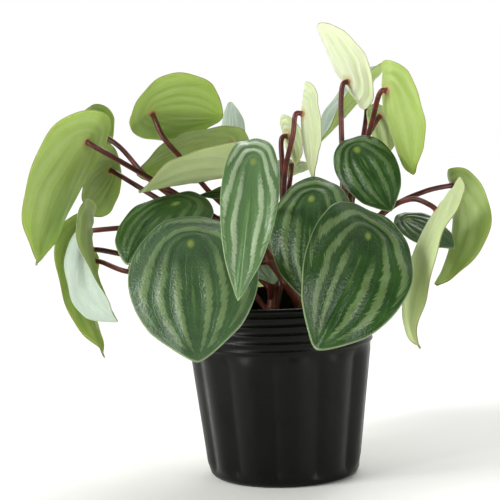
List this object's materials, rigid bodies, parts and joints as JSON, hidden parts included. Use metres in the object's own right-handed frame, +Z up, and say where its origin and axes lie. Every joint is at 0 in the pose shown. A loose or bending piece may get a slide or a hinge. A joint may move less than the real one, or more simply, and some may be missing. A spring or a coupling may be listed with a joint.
{
  "type": "potted peperomia",
  "caption": "Bushy peperomia with striped shield-shaped leaves on dark red stalks, growing in soil in a thin black nursery pot.",
  "frame": {"origin": "centre of the pot's underside, on the surface it stands on", "axes": "+Z up, -Y the front as pictured, +X to the right of the front"},
  "size_m": [0.2074, 0.1794, 0.2033],
  "materials": {
    "pot_plastic": "satin",
    "soil": "matte",
    "stalk": "satin",
    "leaf": "satin"
  },
  "bodies": {
    "root": {"pot": "pot_plastic", "soil": "soil", "stem_left": "stalk", "stem_right": "stalk", "stem_back": "stalk", "leaf_01": "leaf", "leaf_02": "leaf", "leaf_03": "leaf", "leaf_04": "leaf", "leaf_05": "leaf", "leaf_06": "leaf", "leaf_07": "leaf", "leaf_08": "leaf", "leaf_09": "leaf", "leaf_10": "leaf", "leaf_11": "leaf", "leaf_12": "leaf", "leaf_13": "leaf", "leaf_14": "leaf", "leaf_15": "leaf", "leaf_16": "leaf", "leaf_17": "leaf", "leaf_18": "leaf", "leaf_19": "leaf", "leaf_20": "leaf", "leaf_21": "leaf", "leaf_22": "leaf", "leaf_23": "leaf", "leaf_24": "leaf", "leaf_25": "leaf", "leaf_26": "leaf", "leaf_27": "leaf", "leaf_28": "leaf", "leaf_29": "leaf", "leaf_30": "leaf", "leaf_31": "leaf", "leaf_32": "leaf", "leaf_33": "leaf", "leaf_34": "leaf", "leaf_35": "leaf"}
  },
  "joints": []
}
